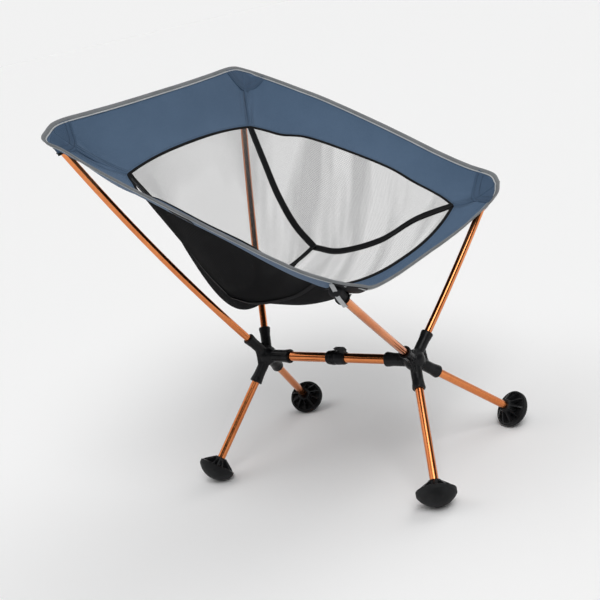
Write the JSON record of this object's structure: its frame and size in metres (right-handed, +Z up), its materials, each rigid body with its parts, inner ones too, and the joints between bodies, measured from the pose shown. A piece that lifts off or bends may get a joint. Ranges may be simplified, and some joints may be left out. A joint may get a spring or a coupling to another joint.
{
  "type": "ultralight backpacking chair",
  "caption": "Low packable camp chair, set up: a mesh and cloth bucket sling stretched over four bowed poles that meet two hubs joined by a crossbar, standing on four splayed legs with domed rubber feet.",
  "frame": {"origin": "On the ground, under the middle of the chair's outline.", "axes": "+Z up; +X across the chair, to the right of the sitter's back seen from the front; the sitter faces -Y."},
  "size_m": [0.5454, 0.513, 0.6381],
  "materials": {
    "copper_tube": "anodised, bright copper-orange",
    "plain_tube": "bare drawn tube",
    "black_moulding": "semi-gloss glass-filled nylon",
    "rubber_dome": "moulded, fine tread at the tip",
    "band_cloth": "slate-blue plain-weave polyester",
    "corner_cloth": "slate-blue polyester, doubled and stitched",
    "mesh_cloth": "open knitted mesh",
    "black_webbing": "ribbed nylon tape",
    "grey_tape": "folded edge tape, ribbed",
    "shock_cord": "braided elastic cord"
  },
  "bodies": {
    "frame": {"rear_hub": "black_moulding", "front_hub": "black_moulding", "crossbar": "copper_tube", "crossbar_cord": "shock_cord", "rear_pole_lower_left": "copper_tube", "rear_pole_lower_right": "copper_tube", "rear_pole_upper_left": "copper_tube", "rear_pole_upper_right": "copper_tube", "rear_ferrule_left": "plain_tube", "rear_ferrule_right": "plain_tube", "front_pole_left": "copper_tube", "front_pole_right": "copper_tube", "pole_cap_rear_left": "black_moulding", "pole_cap_rear_right": "black_moulding", "pole_cap_front_left": "black_moulding", "pole_cap_front_right": "black_moulding", "pole_cord_rear_left": "shock_cord", "pole_cord_rear_right": "shock_cord", "pole_cord_front_left": "shock_cord", "pole_cord_front_right": "shock_cord", "leg_cord_rear_left": "shock_cord", "leg_cord_rear_right": "shock_cord", "leg_cord_front_left": "shock_cord", "leg_cord_front_right": "shock_cord", "band_back": "band_cloth", "band_left": "band_cloth", "band_right": "band_cloth", "band_front": "band_cloth", "mesh_back": "mesh_cloth", "mesh_seat": "mesh_cloth", "mesh_left": "mesh_cloth", "mesh_right": "mesh_cloth", "webbing_left": "black_webbing", "webbing_right": "black_webbing", "webbing_cross": "black_webbing", "edge_binding": "grey_tape", "pocket_rear_left": "corner_cloth", "pocket_rear_right": "corner_cloth", "pocket_front_left": "corner_cloth", "pocket_front_right": "corner_cloth", "patch_rear_left": "corner_cloth", "patch_rear_right": "corner_cloth", "patch_front_left": "corner_cloth", "patch_front_right": "corner_cloth", "side_tag": "grey_tape"},
    "leg_rear_left": {"leg_rear_left": "copper_tube"},
    "foot_rear_left": {"foot_shell_rear_left": "black_moulding", "foot_sole_rear_left": "rubber_dome"},
    "leg_rear_right": {"leg_rear_right": "copper_tube"},
    "foot_rear_right": {"foot_shell_rear_right": "black_moulding", "foot_sole_rear_right": "rubber_dome"},
    "leg_front_left": {"leg_front_left": "copper_tube"},
    "foot_front_left": {"foot_shell_front_left": "black_moulding", "foot_sole_front_left": "rubber_dome"},
    "leg_front_right": {"leg_front_right": "copper_tube"},
    "foot_front_right": {"foot_shell_front_right": "black_moulding", "foot_sole_front_right": "rubber_dome"},
    "clip_slider": {"clip_sleeve": "black_moulding"},
    "clip_hook": {"clip_jaw": "black_moulding"}
  },
  "joints": [
    {"name": "leg_rear_left_slide", "type": "slide", "parent": "frame", "child": "leg_rear_left", "axis": [-0.669, 0.2376, -0.7042], "range_m": [0, 0.03], "stiffness_N_per_m": 100, "springref_m": -0.05},
    {"name": "leg_rear_right_slide", "type": "slide", "parent": "frame", "child": "leg_rear_right", "axis": [0.669, 0.2376, -0.7042], "range_m": [0, 0.03], "stiffness_N_per_m": 100, "springref_m": -0.05},
    {"name": "leg_front_left_slide", "type": "slide", "parent": "frame", "child": "leg_front_left", "axis": [-0.6416, -0.3673, -0.6734], "range_m": [0, 0.03], "stiffness_N_per_m": 100, "springref_m": -0.05},
    {"name": "leg_front_right_slide", "type": "slide", "parent": "frame", "child": "leg_front_right", "axis": [0.6416, -0.3673, -0.6734], "range_m": [0, 0.03], "stiffness_N_per_m": 100, "springref_m": -0.05},
    {"name": "foot_rear_left_slide", "type": "slide", "parent": "leg_rear_left", "child": "foot_rear_left", "axis": [-0.669, 0.2376, -0.7042], "range_m": [0, 0.026]},
    {"name": "foot_rear_right_slide", "type": "slide", "parent": "leg_rear_right", "child": "foot_rear_right", "axis": [0.669, 0.2376, -0.7042], "range_m": [0, 0.026]},
    {"name": "foot_front_left_slide", "type": "slide", "parent": "leg_front_left", "child": "foot_front_left", "axis": [-0.6416, -0.3673, -0.6734], "range_m": [0, 0.026]},
    {"name": "foot_front_right_slide", "type": "slide", "parent": "leg_front_right", "child": "foot_front_right", "axis": [0.6416, -0.3673, -0.6734], "range_m": [0, 0.026]},
    {"name": "clip_slide", "type": "slide", "parent": "frame", "child": "clip_slider", "axis": [0, 1, 0], "range_m": [-0.06, 0.06]},
    {"name": "clip_hook_turn", "type": "hinge", "parent": "clip_slider", "child": "clip_hook", "pos_m": [0, -0.011, 0.17], "axis": [0, 1, 0], "continuous": true}
  ]
}
